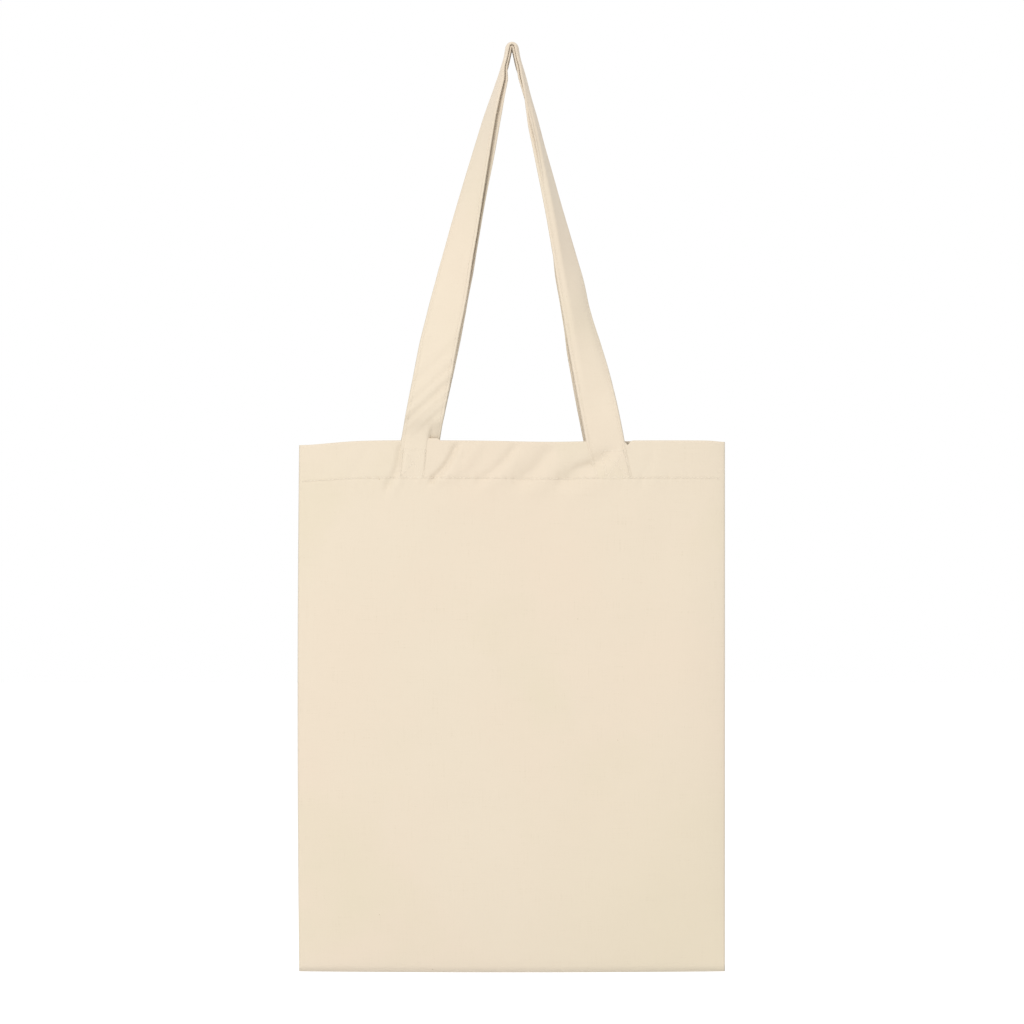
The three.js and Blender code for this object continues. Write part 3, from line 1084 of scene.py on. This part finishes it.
def make_seam(name, start, end, inward):
    """A seam allowance from start to end. inward points from the folded edge to the raw edge."""
    low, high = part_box(name)
    run = Vector(end) - Vector(start)
    inward = Vector(inward)
    width = abs((high - low).dot(inward))
    thick = high.y - low.y
    out = Vector((0, 1, 0))

    def point(u, w, lift):
        ripple = 0.35 * MM * math.sin(u * run.length / (7 * MM)) * w
        wave = 0.4 * MM * math.sin(u * run.length / (11 * MM)) * w
        place = Vector(start) + run * u + inward * (w * width + ripple) + out * (lift + wave)
        place.x, place.z = settle(place.x, place.z)
        return place

    bm = bmesh.new()
    uv_layer = bm.loops.layers.uv.new("UVMap")
    bmesh.ops.create_grid(bm, x_segments=SEAM_GRID[0], y_segments=SEAM_GRID[1], size=0.5)
    grown = bmesh.ops.extrude_face_region(bm, geom=bm.faces[:])
    top = [item for item in grown["geom"] if isinstance(item, bmesh.types.BMVert)]
    for vert in top:
        vert.co.z = 1.0
    flat = {}
    for vert in bm.verts:
        u, w, side = vert.co.x + 0.5, vert.co.y + 0.5, vert.co.z
        rounded = 1 - 0.75 * smooth((w - 0.82) / 0.18)
        vert.co = point(u, w, (side - 0.5) * thick * rounded)
        flat[vert] = (w * width + side * width, u * run.length)
    for face in bm.faces:
        for loop in face.loops:
            loop[uv_layer].uv = flat[loop.vert]
    bmesh.ops.recalc_face_normals(bm, faces=bm.faces)
    cloth = new_piece(f"{name}_cloth", bm, CANVAS)
    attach(cloth, "seams")
    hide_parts(name)

    count = int(run.length / SEAM_STEP)
    starts, ends, outs = [], [], []
    for i in range(count):
        u, ahead = (i + 0.25) / count, (i + 0.75) / count
        for face in (-1, 1):
            starts.append(point(u, 0.42, face * (thick / 2 + THREAD_CLEAR)))
            ends.append(point(ahead, 1.02, face * (thick / 8 + THREAD_CLEAR)))
            outs.append(out * face)
    loops = sew(f"{name}_overlock", starts, ends, outs, radius=FINE_THREAD)
    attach(loops, "seams")
    print(cloth.name, f"{1000 * run.length:.0f} mm long")


left_low, left_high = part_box("left_side_seam")
right_low, right_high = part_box("right_side_seam")
base_low, base_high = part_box("bottom_seam")
make_seam("left_side_seam", (left_low.x, 0, left_low.z), (left_low.x, 0, left_high.z), (1, 0, 0))
make_seam("right_side_seam", (right_high.x, 0, right_low.z), (right_high.x, 0, right_high.z), (-1, 0, 0))
make_seam("bottom_seam", (base_low.x, 0, base_low.z), (base_high.x, 0, base_low.z), (0, 0, 1))

# %% [markdown]
# ## Light, floor and camera
#
# The bag hangs in a white studio. An even white world gives soft light from everywhere and a plain
# white background. One large lamp, high on the left, is what shows the folds. The camera looks
# straight at the front through a long lens, so the sides stay parallel.

# %% The studio
scene = bpy.context.scene
scene.view_settings.view_transform = "Standard"
scene.view_settings.look = "None"

world = bpy.data.worlds.new("studio")
scene.world = world
world.use_nodes = True
background = world.node_tree.nodes["Background"]
background.inputs["Color"].default_value = colour(1, 1, 1)
background.inputs["Strength"].default_value = 1.0

MIDDLE = (cad_box[0] + cad_box[1]) / 2
FLOOR = cad_box[0].z - 0.25
FLOOR_HALF = 8

bm = bmesh.new()
bmesh.ops.create_grid(bm, x_segments=1, y_segments=1, size=FLOOR_HALF)
bmesh.ops.translate(bm, verts=bm.verts, vec=(0, 0, FLOOR))
pale = bpy.data.materials.new("pale_floor")
pale.use_nodes = True
sockets = pale.node_tree.nodes["Principled BSDF"].inputs
sockets["Base Color"].default_value = colour(0.97, 0.97, 0.97)
sockets["Roughness"].default_value = 0.9
sockets["Emission Color"].default_value = colour(1, 1, 1)
sockets["Emission Strength"].default_value = 0.06
floor = new_piece("floor", bm, pale)

# %% The lamp
LIGHT_LEFT, LIGHT_UP, LIGHT_AWAY = math.radians(18), math.radians(40), 4.0
LAMP_SIZE, LAMP_POWER = 1.2, 82


def area_lamp(name, place, aim, size, power):
    """A soft square lamp at place, turned to face aim."""
    data = bpy.data.lights.new(name, "AREA")
    data.size = size
    data.energy = power
    lamp = bpy.data.objects.new(name, data)
    lamp.location = place
    lamp.rotation_euler = (Vector(aim) - Vector(place)).to_track_quat("-Z", "Y").to_euler()
    scene.collection.objects.link(lamp)
    return lamp


level = LIGHT_AWAY * math.cos(LIGHT_UP)
key_place = MIDDLE + Vector(
    (-level * math.sin(LIGHT_LEFT), -level * math.cos(LIGHT_LEFT), LIGHT_AWAY * math.sin(LIGHT_UP))
)
area_lamp("key", key_place, MIDDLE, LAMP_SIZE, LAMP_POWER)

# %% The camera
LENS = 100.0
SENSOR = 36.0
VIEW_WIDTH = 819 * MM  # what the camera takes in at the middle of the bag
AIM_BELOW = 56.8 * MM  # the camera is this far below the mouth
camera_data = bpy.data.cameras.new("camera")
camera_data.lens = LENS
camera_data.sensor_width = SENSOR
camera = bpy.data.objects.new("camera", camera_data)
distance = VIEW_WIDTH * LENS / SENSOR
aim_height = MOUTH - AIM_BELOW
camera.location = (0, -distance, aim_height)
camera.rotation_euler = (math.pi / 2, 0, 0)
scene.collection.objects.link(camera)
scene.camera = camera
print(f"camera {distance:.2f} m from the middle of the bag")
